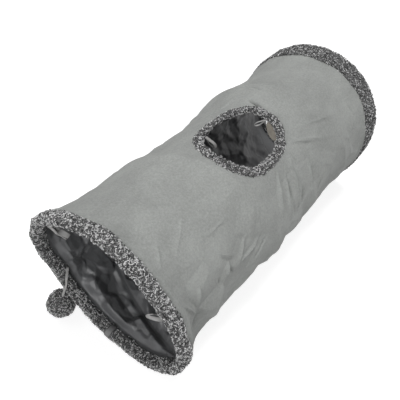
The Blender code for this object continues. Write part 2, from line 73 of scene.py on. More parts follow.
# The camera, as fitted to both rims of the photographed tunnel
CAMERA_PLACE = (0.3100, -0.4823, 0.6719)
CAMERA_HEADING = math.radians(38.274)  # to the left of looking along +Y
CAMERA_TILT = math.radians(45.207)  # up from looking straight down
CAMERA_ROLL = math.radians(0.104)
CAMERA_LENS_MM = 37.8
SENSOR_MM = 36

# Spring steel
WIRE_RADIUS = 0.0015
WIRE_STEP = 0.0034
SLEEVE_RADIUS = 0.0027
SPIRAL_INSET = 0.0025
INSET_EASE = 0.06
SPIRAL_START = -10 / 360  # turns from +X, where the spiral leaves the near hoop
SPIRAL_TURNS = 88 / 36
LAP_TURNS = 2 / 36  # how far its ends lie along the hoops
WIRE_SIDES = 10

# Cloth
CHANNEL = 0.0061  # between the two cloths at the wire
COVER_THICKNESS = 0.0012
LINING_THICKNESS = 0.0008
LAYER_GAP = 0.0005
RIDGE_HALF = 0.0022
RIDGE_SLOPE = 0.0100
SAG = 0.0112
SAG_POWER = 0.82  # below 1 the cloth falls off faster beside the wire
BAND_MARGIN = 0.0015
COVER_GRID = (600, 470)  # round and along
LINING_GRID = (470, 380)
FIRST_ANGLE = math.radians(-15)  # where the grids start
COVER_DENSE = (0, math.radians(142))  # finer rows on the side that the photograph shows, from the first on
LINING_DENSE = (math.radians(135), math.radians(350))
DENSE_SHARE = 0.6
MOUTH_DENSE = (0, 0.26)  # finer columns of the lining near the mouth that the photograph looks into

# Curly fleece
PILE = 0.0021  # from the knitted ground to the mean surface of the curls
BAND_AROUND = 240

# Peek hole
HOLE_TILT = math.radians(77.5)
HOLE_HALF_WIDTH = 0.0645
HOLE_SQUARENESS = 2.2
HOLE_ROLL_HALF_WIDTH = 0.0085
HOLE_ROLL_HALF_HEIGHT = 0.0068
HOLE_AROUND = 150

# What the frame gives
hoop_low, hoop_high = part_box("near_hoop")
band_low, band_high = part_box("near_fleece_band")
far_low, far_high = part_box("far_fleece_band")
hole_low, hole_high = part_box("peek_hole_band")
ball_low, ball_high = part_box("toy_ball")
HOOP_RADIUS = (hoop_high.x - hoop_low.x) / 2 - WIRE_RADIUS
GIRTH = TURN * HOOP_RADIUS
AXIS_HEIGHT = (hoop_high.z + hoop_low.z) / 2
NEAR_Y = (hoop_high.y + hoop_low.y) / 2
FAR_Y = sum(corner.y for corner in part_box("far_hoop")) / 2
ROLL = band_high.x - HOOP_RADIUS
NEAR_REACH = band_high.y - NEAR_Y
FAR_REACH = FAR_Y - far_low.y
HOLE_Y = (hole_low.y + hole_high.y) / 2
HOLE_HALF_LENGTH = (hole_high.y - hole_low.y) / 2 - HOLE_ROLL_HALF_WIDTH
BALL_CENTRE = (ball_low + ball_high) / 2
BALL_RADIUS = (ball_high.x - ball_low.x) / 2
HOOP_SPACING = FAR_Y - NEAR_Y
PITCH = (HOOP_SPACING - 2 * WIRE_STEP) / SPIRAL_TURNS
NEAR_FLAT_Y = NEAR_Y + NEAR_REACH + BAND_MARGIN
FAR_FLAT_Y = FAR_Y - FAR_REACH - BAND_MARGIN

collection = bpy.data.collections.new("cat_tunnel_looks")
bpy.context.scene.collection.children.link(collection)


# Points and meshes
def polar(radius, angle, y):
    """Points at an angle from +X towards +Z about the tunnel's axis."""
    radius, angle, y = np.broadcast_arrays(radius, angle, y)
    return np.stack([radius * np.cos(angle), y, AXIS_HEIGHT + radius * np.sin(angle)], axis=-1)


def circle(count):
    """Angles spread evenly round one turn."""
    return np.linspace(0, TURN, count, endpoint=False)


def outward(angle):
    """The direction away from the tunnel's axis at an angle."""
    return np.stack([np.cos(angle), 0 * angle, np.sin(angle)], axis=-1)


def unit(vectors):
    return vectors / np.maximum(np.linalg.norm(vectors, axis=-1, keepdims=True), 1e-12)


def smooth(value):
    """0 up to 0, 1 from 1 on, and an even ease between them."""
    value = np.clip(value, 0, 1)
    return value * value * (3 - 2 * value)


def falling(distance):
    """1 at 0, falling off on both sides as a bell whose spread is 1."""
    return np.exp(-(distance**2) / 2)


def squarer(wave, power):
    """A sine or cosine with fuller sides. The smaller the power, the squarer it is."""
    return np.sign(wave) * np.abs(wave) ** power


def closed_ahead(path):
    """The direction of a closed path at each of its points."""
    return unit(np.roll(path, -1, axis=0) - np.roll(path, 1, axis=0))


def ring_points(path, across, up, count):
    """A ring of points about each point of a path. across and up are its two half axes there."""
    turn = circle(count)[None, :, None]
    return path[:, None] + across[:, None] * np.cos(turn) + up[:, None] * np.sin(turn)


def spaced(total, count, dense, share):
    """Places from 0 up to but not at total, a share of them within the dense stretch."""
    low, high = dense
    before = (1 - share) * low / (total - high + low)
    return np.interp(np.arange(count) / count, [0, before, before + share, 1], [0, low, high, total])


def grid_faces(rows, columns, wrap_rows=False, wrap_columns=False):
    """The quads of a grid of points numbered row by row."""
    row = np.arange(rows if wrap_rows else rows - 1)[:, None]
    column = np.arange(columns if wrap_columns else columns - 1)[None, :]
    row, below, right = row * columns, (row + 1) % rows * columns, (column + 1) % columns
    corners = (row + column, row + right, below + right, below + column)
    return np.stack(np.broadcast_arrays(*corners), axis=-1).reshape(-1, 4)


def capped_tube_faces(rings, sides):
    """The faces of a tube whose points are numbered ring by ring: its sides, then its two ends."""
    first = np.arange(sides)
    ends = np.array([first[::-1], first + (rings - 1) * sides])
    return [grid_faces(rings, sides, wrap_columns=True), ends]


SWELL_WAVES = 24
SWELL_RATES = (0.6, 1.6)  # the waves' rates, as shares of the one that the size stands for


def swell(points, size, seed):
    """Smooth random swells about size metres wide, from plane waves. Their mean is 0 and their spread 1."""
    chance = np.random.default_rng(seed)
    total = 0
    for _ in range(SWELL_WAVES):
        wave = unit(chance.normal(size=3)) * chance.uniform(*SWELL_RATES) * math.pi / size
        total = total + np.cos(points @ wave + chance.uniform(0, TURN))
    return total * math.sqrt(2 / SWELL_WAVES)


def swollen(points, out, tall, size, seed):
    """The points, moved outwards by such swells."""
    return points + out * tall * swell(points, size, seed)[:, None]


def add_piece(name, points, faces, materials, slots=None):
    """A smooth mesh in the scene. faces is one array, or a list with an array for each size of face."""
    groups = faces if isinstance(faces, list) else [faces]
    corners = np.concatenate([group.ravel() for group in groups])
    sizes = np.concatenate([np.full(len(group), group.shape[1]) for group in groups])
    mesh = bpy.data.meshes.new(name)
    points = np.asarray(points, np.float32).reshape(-1, 3)
    mesh.vertices.add(len(points))
    mesh.vertices.foreach_set("co", points.ravel())
    mesh.loops.add(len(corners))
    mesh.loops.foreach_set("vertex_index", corners.astype(np.int32))
    mesh.polygons.add(len(sizes))
    mesh.polygons.foreach_set("loop_start", (np.cumsum(sizes) - sizes).astype(np.int32))
    for look in materials:
        mesh.materials.append(look)
    if slots is not None:
        mesh.polygons.foreach_set("material_index", np.asarray(slots, np.int32))
    mesh.update(calc_edges=True)
    mesh.shade_smooth()
    piece = bpy.data.objects.new(name, mesh)
    collection.objects.link(piece)
    return piece


def stands_for(piece, body, slot, *nodes):
    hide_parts(*nodes)
    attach(piece, body)
    return piece


def folds_up(piece):
    """Gives the piece its own copy of its mesh."""
    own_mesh(piece)


# Materials
def add_node(tree, kind, inputs=None, **settings):
    """A new node in a tree, with settings of its own and values on its inputs."""
    node = tree.nodes.new("ShaderNode" + kind)
    for key, value in settings.items():
        setattr(node, key, value)
    for key, value in (inputs or {}).items():
        node.inputs[key].default_value = value
    return node


class Look:
    """A node material under construction, with short ways to add and join its nodes."""

    def __init__(self, name, roughness, metallic=0.0, sheen=0.0):
        self.material = bpy.data.materials.new(name)
        self.material.use_nodes = True
        self.tree = self.material.node_tree
        self.links = self.tree.links
        self.shader = self.tree.nodes["Principled BSDF"]
        finish = {"Roughness": roughness, "Metallic": metallic, "Sheen Weight": sheen, "Sheen Roughness": 0.6}
        for key, value in finish.items():
            self.shader.inputs[key].default_value = value
        self.place = self.add("TexCoord").outputs["Object"]

    def add(self, kind, inputs=None, **settings):
        return add_node(self.tree, kind, inputs, **settings)

    def noise(self, size, detail=3.0, roughness=0.55, stretch=None):
        """Noise whose features are about size metres across."""
        node = self.add("TexNoise", {"Scale": 1 / size, "Detail": detail, "Roughness": roughness})
        place = self.place
        if stretch:
            mapping = self.add("Mapping", {"Scale": stretch})
            self.links.new(self.place, mapping.inputs["Vector"])
            place = mapping.outputs["Vector"]
        self.links.new(place, node.inputs["Vector"])
        return node.outputs["Fac"]

    def ramp(self, value, stops):
        node = self.add("ValToRGB")
        ramp = node.color_ramp
        while len(ramp.elements) < len(stops):
            ramp.elements.new(0.5)
        for element, (at, colour) in zip(ramp.elements, stops):
            element.position = at
            element.color = (*colour, 1)
        self.links.new(value, node.inputs["Fac"])
        return node.outputs["Color"]

    def tones(self, value, dark, light, reach=0.2):
        """From the dark colour to the light one, where the value is within that reach of its middle, 0.5."""
        return self.ramp(value, [(0.5 - reach, dark), (0.5 + reach, light)])

    def overlay(self, first, second, share):
        """The first colour with a share of the second one, which is grey about 0.5, laid over it."""
        node = self.add("Mix", {"Factor": share}, data_type="RGBA", blend_type="OVERLAY")
        first_colour, second_colour = node.inputs[6], node.inputs[7]
        self.links.new(first, first_colour)
        self.links.new(second, second_colour)
        return node.outputs[2]

    def colour(self, value):
        self.links.new(value, self.shader.inputs["Base Color"])

    def bump(self, height, distance, strength=1.0):
        node = self.add("Bump", {"Strength": strength, "Distance": distance})
        self.links.new(height, node.inputs["Height"])
        before = self.shader.inputs["Normal"]
        if before.is_linked:
            self.links.new(before.links[0].from_socket, node.inputs["Normal"])
        self.links.new(node.outputs["Normal"], before)


def grey(level, warmth=0.0):
    return (level * (1 + warmth), level, level * (1 - 1.6 * warmth))


SUEDE_LEVELS = (0.254, 0.328)
SUEDE_TINT = (0.968, 1.0, 0.962)


def suede():
    """Brushed grey polyester: a finely mottled nap with faint patches where it was stroked."""
    look = Look("suede", roughness=0.93, sheen=0.12)
    dark, light = [tuple(level * tint for tint in SUEDE_TINT) for level in SUEDE_LEVELS]
    stroked = look.noise(size=0.05, detail=5.0, roughness=0.6, stretch=(1, 0.6, 1))
    patches = look.tones(stroked, dark, light, reach=0.18)
    speckle = look.noise(size=0.0032, detail=4.0, roughness=0.6)
    mottle = look.tones(speckle, grey(0.40), grey(0.60), reach=0.18)
    nap = look.tones(look.noise(size=0.0011, detail=2.0), grey(0.42), grey(0.58))
    look.colour(look.overlay(look.overlay(patches, mottle, share=0.55), nap, share=0.5))
    look.bump(look.noise(size=0.0011, detail=2.0), distance=0.0002, strength=0.5)
    look.bump(look.noise(size=0.004), distance=0.0004, strength=0.4)
    return look.material


def crinkled_lining():
    """Thin charcoal polyester with a slight shine and fine creases."""
    look = Look("lining", roughness=0.43, sheen=0.05)
    tone = look.tones(look.noise(size=0.05, detail=4.0), grey(0.086, -0.02), grey(0.120, -0.02))
    weave = look.tones(look.noise(size=0.0007, detail=1.0), grey(0.45), grey(0.55), reach=0.15)
    look.colour(look.overlay(tone, weave, share=0.4))
    look.bump(look.noise(size=0.009, detail=4.0, roughness=0.6), distance=0.0008, strength=0.45)
    look.bump(look.noise(size=0.0007, detail=1.0), distance=0.00005, strength=0.4)
    return look.material


def yarn(name, level):
    """One of the fleece's yarns, with fine twisted fibres."""
    look = Look(name, roughness=0.95, sheen=0.25)
    fibres = look.noise(size=0.0009, stretch=(1, 1, 2))
    look.colour(look.tones(fibres, grey(level * 0.62), grey(level * 1.25), reach=0.25))
    look.bump(fibres, distance=0.0002, strength=0.6)
    return look.material


def fleece_ground():
    """The knitted ground under the curls, in the same three yarns."""
    look = Look("fleece_ground", roughness=0.95, sheen=0.2)
    knit = look.noise(size=0.0016, detail=2.0)
    stops = [(0.40, grey(0.015)), (0.48, grey(0.05)), (0.55, grey(0.10)), (0.61, grey(0.36))]
    look.colour(look.ramp(knit, stops))
    look.bump(knit, distance=0.0008, strength=0.9)
    return look.material


def woven(name, level, warmth=0.0):
    """Ribbon and webbing: a fine rib across a plain weave."""
    look = Look(name, roughness=0.6, sheen=0.1)
    tone = look.tones(look.noise(size=0.004), grey(level * 0.85, warmth), grey(level * 1.1, warmth))
    threads = look.noise(size=0.0006, detail=1.0)
    look.colour(look.overlay(tone, look.tones(threads, grey(0.4), grey(0.6)), share=0.35))
    look.bump(threads, distance=0.00012, strength=0.7)
    return look.material


def felt(name, level, warmth):
    """Pressed felt: short matted fibres and a soft cloudy tone."""
    look = Look(name, roughness=0.95, sheen=0.2)
    tone = look.tones(look.noise(size=0.006), grey(level * 0.8, warmth), grey(level * 1.15, warmth))
    fibres = look.noise(size=0.0008, detail=4.0, roughness=0.7)
    look.colour(look.overlay(tone, look.tones(fibres, grey(0.38), grey(0.62)), share=0.4))
    look.bump(fibres, distance=0.0003, strength=0.7)
    return look.material


def metal(name, level, roughness):
    """Drawn or pressed steel with faint marks."""
    look = Look(name, roughness=roughness, metallic=1.0)
    drawn = look.noise(size=0.002)
    look.colour(look.tones(drawn, grey(level * 0.9), grey(level * 1.05)))
    look.bump(drawn, distance=0.00003, strength=0.4)
    return look.material


SUEDE = suede()
LINING = crinkled_lining()
YARNS = [yarn("yarn_dark", 0.018), yarn("yarn_grey", 0.17), yarn("yarn_light", 0.71)]
FLEECE_GROUND = fleece_ground()
RIBBON = woven("ribbon", 0.33, 0.01)
STRAP_LIGHT = woven("strap_light", 0.20)
STRAP_DARK = woven("strap_dark", 0.06)
TAG = felt("tag_felt", 0.125, 0.11)
SLEEVE = woven("sleeve", 0.012)
STEEL = metal("spring_steel", 0.5, 0.33)
FERRULE = metal("ferrule", 0.6, 0.4)

# The bent near rim
MOUTH_BEND = 0.010  # how far the upper left of the near rim stands forward
MOUTH_BEND_ANGLES = (80, 120, 165, 205)  # degrees from +X: where it starts, is full, is still full and ends
MOUTH_BEND_LENGTH = 0.13  # how far along the tunnel the cloth follows it


def bent(points):
    """Places at the near end, moved with the rim where it's bent."""
    points = np.array(points, float)
    angle = np.degrees(np.arctan2(points[..., 2] - AXIS_HEIGHT, points[..., 0])) % 360
    starts, full, last, ends = MOUTH_BEND_ANGLES
    share = smooth((angle - starts) / (full - starts)) * smooth((ends - angle) / (ends - last))
    points[..., 1] -= MOUTH_BEND * share * smooth(1 - (points[..., 1] - NEAR_Y) / MOUTH_BEND_LENGTH)
    return points


# The spiral and the cloth that it holds up
def wire_turns(angle):
    """How many turns along the spiral its first pass at an angle is."""
    return (SPIRAL_START - angle / TURN) % 1


def inset(y):
    """How much smaller than the hoops the spiral is wound at y."""
    from_band = np.minimum(y - NEAR_FLAT_Y, FAR_FLAT_Y - y)
    return SPIRAL_INSET * np.clip(from_band / INSET_EASE, 0, 1)


# Where the used tunnel lies further in than an even one, or further out if the depth is below zero:
# angle in degrees, distance from the near hoop, spread in degrees and in metres, depth
DENTS = (
    (128, 0.140, 34, 0.085, 0.0065),
    (128, 0.510, 30, 0.042, 0.0030),
    (133, 0.385, 18, 0.030, -0.0022),
    (-5, 0.365, 24, 0.055, -0.0085),
    (-5, 0.500, 26, 0.036, 0.0020),
    (2, 0.100, 14, 0.035, 0.0020),
    (4, 0.036, 16, 0.030, 0.0080),
)
DENT_EASE = 0.010


def bell(angle, at, spread):
    """1 at an angle, falling off on both sides. All in degrees."""
    return falling(((angle - at + 180) % 360 - 180) / spread)


def dent(angle, y):
    """How far in the tunnel is pushed, away from its bands."""
    total = 0
    for at, along, spread, reach, depth in DENTS:
        total = total + depth * bell(np.degrees(angle), at, spread) * falling((y - NEAR_Y - along) / reach)
    return total * smooth((y - NEAR_FLAT_Y) / DENT_EASE) * smooth((FAR_FLAT_Y - y) / DENT_EASE)


def free_spans(angles, ys):
    """Where the free span of cloth that each place lies in starts and ends, between turns or bands."""
    found = []
    for angle in angles:
        passes = NEAR_Y + WIRE_STEP + PITCH * np.arange(wire_turns(angle), SPIRAL_TURNS, 1)
        starts = np.concatenate([[NEAR_FLAT_Y], passes + RIDGE_HALF])
        ends = np.concatenate([passes - RIDGE_HALF, [FAR_FLAT_Y]])
        real = ends > starts
        starts, ends = starts[real], ends[real]
        which = np.clip(np.searchsorted(ends, ys), 0, len(ends) - 1)
        found.append((starts[which], ends[which]))
    return np.moveaxis(np.array(found), 1, 0)


def cloth_radii(angles, ys):
    """(radius of the cover's outside, radius of the lining's inside) without wrinkles, by angle and y."""
    start, end = free_spans(angles, ys)
    share = np.clip((ys - start) / (end - start), 0, 1)
    sag = SAG * np.minimum(1, (end - start) / (PITCH - 2 * RIDGE_HALF)) ** 2
    sag = sag * (4 * share * (1 - share)) ** SAG_POWER
    gap = CHANNEL + (LAYER_GAP - CHANNEL) * smooth(np.minimum(ys - start, end - ys) / RIDGE_SLOPE)
    cover = HOOP_RADIUS - inset(ys) + CHANNEL / 2 + COVER_THICKNESS - sag - dent(angles[:, None], ys)
    return cover, cover - COVER_THICKNESS - gap - LINING_THICKNESS


def hole_level(angle, y):
    """Below 1 inside the peek hole's outline, 1 on it and above 1 outside."""
    around = (angle - HOLE_TILT) * HOOP_RADIUS / HOLE_HALF_WIDTH
    along = (y - HOLE_Y) / HOLE_HALF_LENGTH
    powers = np.abs(around) ** HOLE_SQUARENESS + np.abs(along) ** HOLE_SQUARENESS
    return powers ** (1 / HOLE_SQUARENESS)


def hole_place(share, grow=0.0):
    """The angle and y of points on the hole's outline, grown outwards along the cloth."""
    turn = TURN * np.asarray(share, float)
    along = squarer(np.cos(turn), 2 / HOLE_SQUARENESS) * (HOLE_HALF_LENGTH + grow)
    around = squarer(np.sin(turn), 2 / HOLE_SQUARENESS) * (HOLE_HALF_WIDTH + grow)
    return HOLE_TILT + around / HOOP_RADIUS, HOLE_Y + along


def middle_radius(angle, y):
    """The radius halfway through the cloth at single places."""
    found = []
    for one_angle, one_y in np.broadcast(angle, y):
        cover, lining = cloth_radii(np.array([one_angle]), np.array([one_y]))
        found.append((cover[0, 0] + lining[0, 0]) / 2)
    return np.array(found)


HOLE_HOLDS = 1.12  # up to this level its band holds the cloth


def looseness(angles, ys, reach):
    """0 where wire, bands or the hole's band hold the cloth, 1 further than reach from them."""
    start, end = free_spans(angles, ys)
    from_hole = (hole_level(angles[:, None], ys) - HOLE_HOLDS) * HOLE_HALF_WIDTH
    return smooth(np.minimum(ys - start, end - ys) / reach) * smooth(from_hole / reach)


def through_points(points, steps):
    """A smooth curve through points, by Catmull and Rom, with that many steps to a stretch."""
    points = np.asarray(points, float)
    ends = np.concatenate([[2 * points[0] - points[1]], points, [2 * points[-1] - points[-2]]])
    found = []
    for a, b, c, d in zip(ends, ends[1:], ends[2:], ends[3:]):
        for t in np.linspace(0, 1, steps, endpoint=False):
            square, cube = 2 * a - 5 * b + 4 * c - d, 3 * b - a - 3 * c + d
            found.append(0.5 * (2 * b + (c - a) * t + square * t**2 + cube * t**3))
    return np.array([*found, points[-1]])


# A crease's crest, the hollow beside it and how far it's followed, in widths
CREST = 1.15
HOLLOW_SPREAD = 2.6
CREASE_MARGIN = 9
HOLLOW = 0.3  # share of the height
CREASE_FADE = 0.45  # share of the length
CREASE_STEPS = 6


def add_crease(height, around, ys, places, width, tall):
    """Adds a narrow sharp pinch along a curve, fading at both ends, with a faint hollow on both sides.

    height has a row for each distance around the tunnel and a column for each y. places are
    (distance from the near hoop, angle in degrees). A tall below zero makes a furrow.
    """
    line = [(math.radians(angle) * HOOP_RADIUS, NEAR_Y + along) for along, angle in places]
    line = through_points(line, CREASE_STEPS)
    middle, margin = line[:, 0].mean(), CREASE_MARGIN * width
    turned = (around - middle + GIRTH / 2) % GIRTH - GIRTH / 2 + middle
    rows = np.flatnonzero((turned > line[:, 0].min() - margin) & (turned < line[:, 0].max() + margin))
    columns = np.flatnonzero((ys > line[:, 1].min() - margin) & (ys < line[:, 1].max() + margin))
    x, y = np.meshgrid(turned[rows], ys[columns], indexing="ij")
    steps = np.diff(line, axis=0)
    runs = np.linalg.norm(steps, axis=1)
    nearest, at, run = np.full(x.shape, np.inf), np.zeros(x.shape), 0
    for start, step, size in zip(line, steps, runs):
        share = np.clip(((x - start[0]) * step[0] + (y - start[1]) * step[1]) / size**2, 0, 1)
        distance = np.hypot(x - start[0] - share * step[0], y - start[1] - share * step[1])
        closer = distance < nearest
        nearest = np.where(closer, distance, nearest)
        at = np.where(closer, run + share * size, at)
        run += size
    ease = CREASE_FADE * run
    fade = smooth(at / ease) * smooth((run - at) / ease)
    pinch = np.exp(-nearest / (CREST * width)) - HOLLOW * falling(nearest / (HOLLOW_SPREAD * width))
    height[np.ix_(rows, columns)] += tall * fade * pinch


FACET_PLACES = (0.05, 0.95)  # shares of its cell that a scattered point lies between


def facets(around, y, cell, slope, seed):
    """Flat facets that meet in sharp creases, as in crumpled thin cloth, from two sets of scattered points.

    The difference between the squared distances to the nearest point of either set is flat in patches.
    """
    chance = np.random.default_rng(seed)
    across = round(GIRTH / cell)
    size = GIRTH / across
    rows = math.ceil(HOOP_SPACING / size) + 3
    column, row = np.floor(around / size).astype(int), np.floor((y - NEAR_Y) / size).astype(int) + 1
    found = []
    for _ in range(2):
        scattered = chance.uniform(*FACET_PLACES, (rows, across, 2))
        nearest = np.full(around.shape, np.inf)
        for down in (-1, 0, 1):
            for right in (-1, 0, 1):
                cells = np.clip(row + down, 0, rows - 1)
                aside, ahead = np.moveaxis(scattered[cells, (column + right) % across], -1, 0)
                x_gap = around - (column + right + aside) * size
                y_gap = y - NEAR_Y - (row + down - 1 + ahead) * size
                nearest = np.minimum(nearest, x_gap**2 + y_gap**2)
        found.append(nearest)
    return slope / size * (found[0] - found[1])


# Creases seen in the photograph, in millimetres: places, half width and height. The last eight are broad
# folds, most of them in a fan down from the peek hole
SEEN_CREASES = (
    (((20, 32), (34, 21), (45, 10)), 2.2, 5.5),
    (((36, 25), (42, 17), (46, 10)), 2, 4),
    (((62, 30), (55, 21), (48, 12)), 2.2, 5.9),
    (((107, 40), (115, 32), (128, 26), (141, 19)), 2.2, 5.1),
    (((127, 26), (118, 20), (109, 12)), 2.2, 5.9),
    (((100, 20), (98, 9)), 3.1, -4.2),
    (((173, 30), (158, 25), (146, 19), (136, 12)), 2.2, 6.5),
    (((136, 13), (155, 16), (178, 18), (202, 21)), 2.3, 6.5),
    (((175, 6), (192, 11), (210, 16)), 2.2, -9.3),
    (((118, 20), (128, 12)), 2.4, -7.2),
    (((108, 45), (130, 46), (158, 46)), 2.2, 2.7),
    (((294, 47), (278, 40), (264, 32), (252, 23), (247, 12)), 2.2, -3.4),
    (((315, 49), (307, 39), (294, 30), (283, 20), (277, 8)), 2.2, 5.9),
    (((328, 53), (331, 46), (339, 35)), 2.2, 3.8),
    (((336, 54), (360, 50), (382, 45), (412, 38)), 2.3, 3.8),
    (((326, 24), (316, 16), (309, 6)), 2.3, 6.5),
    (((330, 22), (326, 12), (322, 4)), 3.2, -3.6),
    (((418, 26), (404, 18), (384, 12), (368, 7)), 2.9, 3),
    (((186, 86), (185, 79), (192, 69)), 2.3, -4),
    (((393, 115), (410, 108), (407, 95), (403, 88)), 2.2, -4.2),
    (((70, 84), (90, 76), (114, 69)), 2.3, 1.9),
    (((114, 69), (80, 57), (44, 48)), 2.9, 1.9),
    (((48, 63), (20, 48)), 2.3, 1.9),
    (((523, 47), (530, 38), (534, 29)), 3.1, -2.7),
    (((430, 120), (424, 104), (436, 84)), 2.3, 4.2),
    (((300, 120), (340, 112), (392, 108)), 2.3, 4.9),
    (((300, 50), (280, 38), (262, 24), (254, 6)), 4, 6.2),
    (((316, 50), (301, 34), (294, 14), (292, 0)), 3.8, -5.6),
    (((335, 50), (318, 33), (310, 18), (308, 0)), 4, 6.2),
    (((372, 42), (360, 22), (346, 4)), 4, 5.6),
    (((425, 32), (392, 10), (350, -8)), 4, -5),
    (((345, 54), (385, 46), (440, 34)), 3.5, 4.2),
    (((380, 57), (435, 50), (500, 43)), 3.5, 3.2),
    (((400, 98), (449, 87), (495, 74)), 3.5, 3.2),
)
# The cloth pushed in under the edge of the peek hole's band
HOLE_TUCK = (((380, 100), (373, 95), (370, 90), (367, 86), (361, 82)), 2.8, -16)
# Like creases on the unseen sides, with the limits of angle, distance, turn, length and bend
UNSEEN_CREASES = 44
UNSEEN_SEED = 31
UNSEEN_PLACES = ((128, 352), (0.03, HOOP_SPACING - 0.06), (0, math.pi), (0.02, 0.06), (-0.6, 0.6))
UNSEEN_HEIGHTS = (0.0010, 0.0026)
UNSEEN_WIDTHS = (0.0016, 0.0026)


def in_metres(places, width, tall):
    return [(along / 1000, angle) for along, angle in places], width / 1000, tall / 1000


def unseen_creases():
    """Places, half width and height of each of them."""
    chance = np.random.default_rng(UNSEEN_SEED)
    for _ in range(UNSEEN_CREASES):
        angle, along, turn, length, bend = [chance.uniform(*limits) for limits in UNSEEN_PLACES]
        ahead = np.array([math.sin(turn), math.cos(turn)])
        aside = np.array([math.cos(turn), -math.sin(turn)])
        places = []
        for share in (-0.5, 0, 0.5):
            y, x = length * (share * ahead + bend * (0.25 - share**2) * aside)
            places.append((along + y, angle + math.degrees(x / HOOP_RADIUS)))
        tall = chance.uniform(*UNSEEN_HEIGHTS) * chance.choice([-1, 1])
        yield places, chance.uniform(*UNSEEN_WIDTHS), tall


COVER_EASE = 0.025
COVER_SWELLS = ((0.00035, 0.045, 3), (0.00018, 0.016, 8))  # height, size and seed
COVER_FACETS = (0.046, 0.14, 5)  # cell, slope and seed
COVER_TOP = ((58, 30), (128, 20))  # where the smoother top ends on either side, and the ease, in degrees
COVER_TOP_SHARE = 0.2  # of the facets
PINCH_EASE = 0.006
PINCH_HELD = 0.25  # of a crease, where the cloth is held


def cover_wrinkles(angles, ys, surface):
    """How far the cover's wrinkles stand out."""
    around, y = np.meshgrid(angles * HOOP_RADIUS, ys, indexing="ij")
    free = looseness(angles, ys, COVER_EASE)
    degrees = np.degrees(angles)[:, None]
    (right, right_ease), (left, left_ease) = COVER_TOP
    low_side = np.maximum(smooth((right - degrees) / right_ease), smooth((degrees - left) / left_ease))
    height = free * sum(tall * swell(surface, size, seed) for tall, size, seed in COVER_SWELLS)
    height += free * (COVER_TOP_SHARE + (1 - COVER_TOP_SHARE) * low_side) * facets(around, y, *COVER_FACETS)
    pinches = np.zeros_like(height)
    for crease in (*[in_metres(*seen) for seen in SEEN_CREASES], *unseen_creases()):
        add_crease(pinches, angles * HOOP_RADIUS, ys, *crease)
    height += pinches * (PINCH_HELD + (1 - PINCH_HELD) * looseness(angles, ys, PINCH_EASE))
    add_crease(height, angles * HOOP_RADIUS, ys, *in_metres(*HOLE_TUCK))
    return height


LINING_HANG = 0.0075
LINING_FACETS = ((0.060, 0.38, 21), (0.030, 0.30, 4), (0.014, 0.12, 33))  # cell, slope and seed
LINING_DEEPEST = 0.017
LINING_EASE = 0.010
CALM_FROM = 0.16  # from this far along, the lining is smoother
CALM_SHARE = 0.6
LINING_CALM_EASE = 0.08
BELLY = 0.0040  # how far the lining swells up behind the lower near band
BELLY_ALONG = (0.030, 0.020)  # from the near hoop, and its spread
BELLY_ROUND = (255, 42)  # degrees, and its spread


def lining_wrinkles(angles, ys):
    """How far the lining hangs in from the cover."""
    around, y = np.meshgrid(angles * HOOP_RADIUS, ys, indexing="ij")
    calm = 1 - CALM_SHARE * smooth((ys - NEAR_Y - CALM_FROM) / LINING_CALM_EASE)
    inwards = LINING_HANG
    for cell, slope, seed in LINING_FACETS:
        inwards = inwards + calm * facets(around, y, cell, slope, seed)
    along, spread = BELLY_ALONG
    belly = falling((ys - NEAR_Y - along) / spread) * bell(np.degrees(angles)[:, None], *BELLY_ROUND)
    inwards = np.clip(inwards, 0, LINING_DEEPEST) + BELLY * belly
    return inwards * looseness(angles, ys, LINING_EASE)


def cloth_piece(name, angles, ys, radii, look):
    """An open tube of cloth by angle and y, with the peek hole cut out along its outline."""
    angle, y = np.meshgrid(angles, ys, indexing="ij")
    level = hole_level(angle, y)
    faces = grid_faces(len(angles), len(ys), wrap_rows=True)
    kept = faces[level.ravel()[faces].max(axis=1) > 1]
    on_edge = (level < 1) & np.isin(np.arange(level.size).reshape(level.shape), kept)
    shrink = np.where(on_edge, level, 1)
    angle = HOLE_TILT + (angle - HOLE_TILT) / shrink
    y = HOLE_Y + (y - HOLE_Y) / shrink
    points = bent(polar(radii, angle, y)).reshape(-1, 3)
    used, kept = np.unique(kept, return_inverse=True)
    kept = kept.reshape(-1, 4)
    return add_piece(name, points[used], kept[:, ::-1] if look is LINING else kept, [look])


def cloths():
    for name, node, slot, grid, dense, look in (
        ("cover_cloth", "outer_cover", "suede", COVER_GRID, COVER_DENSE, SUEDE),
        ("lining_cloth", "inner_lining", "lining", LINING_GRID, LINING_DENSE, LINING),
    ):
        angles = FIRST_ANGLE + spaced(TURN, grid[0], dense, DENSE_SHARE)
        ys = np.linspace(NEAR_Y, FAR_Y, grid[1])
        if look is LINING:
            ys = np.append(NEAR_Y + spaced(HOOP_SPACING, grid[1] - 1, MOUTH_DENSE, DENSE_SHARE), FAR_Y)
        cover, lining = cloth_radii(angles, ys)
        surface = polar(cover, angles[:, None], ys[None, :])
        wrinkles = cover_wrinkles(angles, ys, surface)
        radii = cover + wrinkles
        if look is LINING:
            radii = lining + np.minimum(wrinkles, 0) - lining_wrinkles(angles, ys)
        piece = stands_for(cloth_piece(name, angles, ys, radii, look), "near_end", slot, node)
        folds_up(piece)


def tube(path, radius, sides):
    """Points and faces of a round tube along a path, its ends closed."""
    path = np.asarray(path)
    ahead = unit(np.gradient(path, axis=0))
    across = unit(np.cross(ahead, [0, 1, 0]))
    up = np.cross(ahead, across)
    return ring_points(path, radius * across, radius * up, sides), capped_tube_faces(len(path), sides)


def spiral_path(first, last, steps):
    turns = np.linspace(first, last, steps)
    y = NEAR_Y + WIRE_STEP + PITCH * np.clip(turns, 0, SPIRAL_TURNS)
    angle = TURN * (SPIRAL_START - turns)
    return bent(polar(HOOP_RADIUS - inset(y) - dent(angle, y), angle, y))


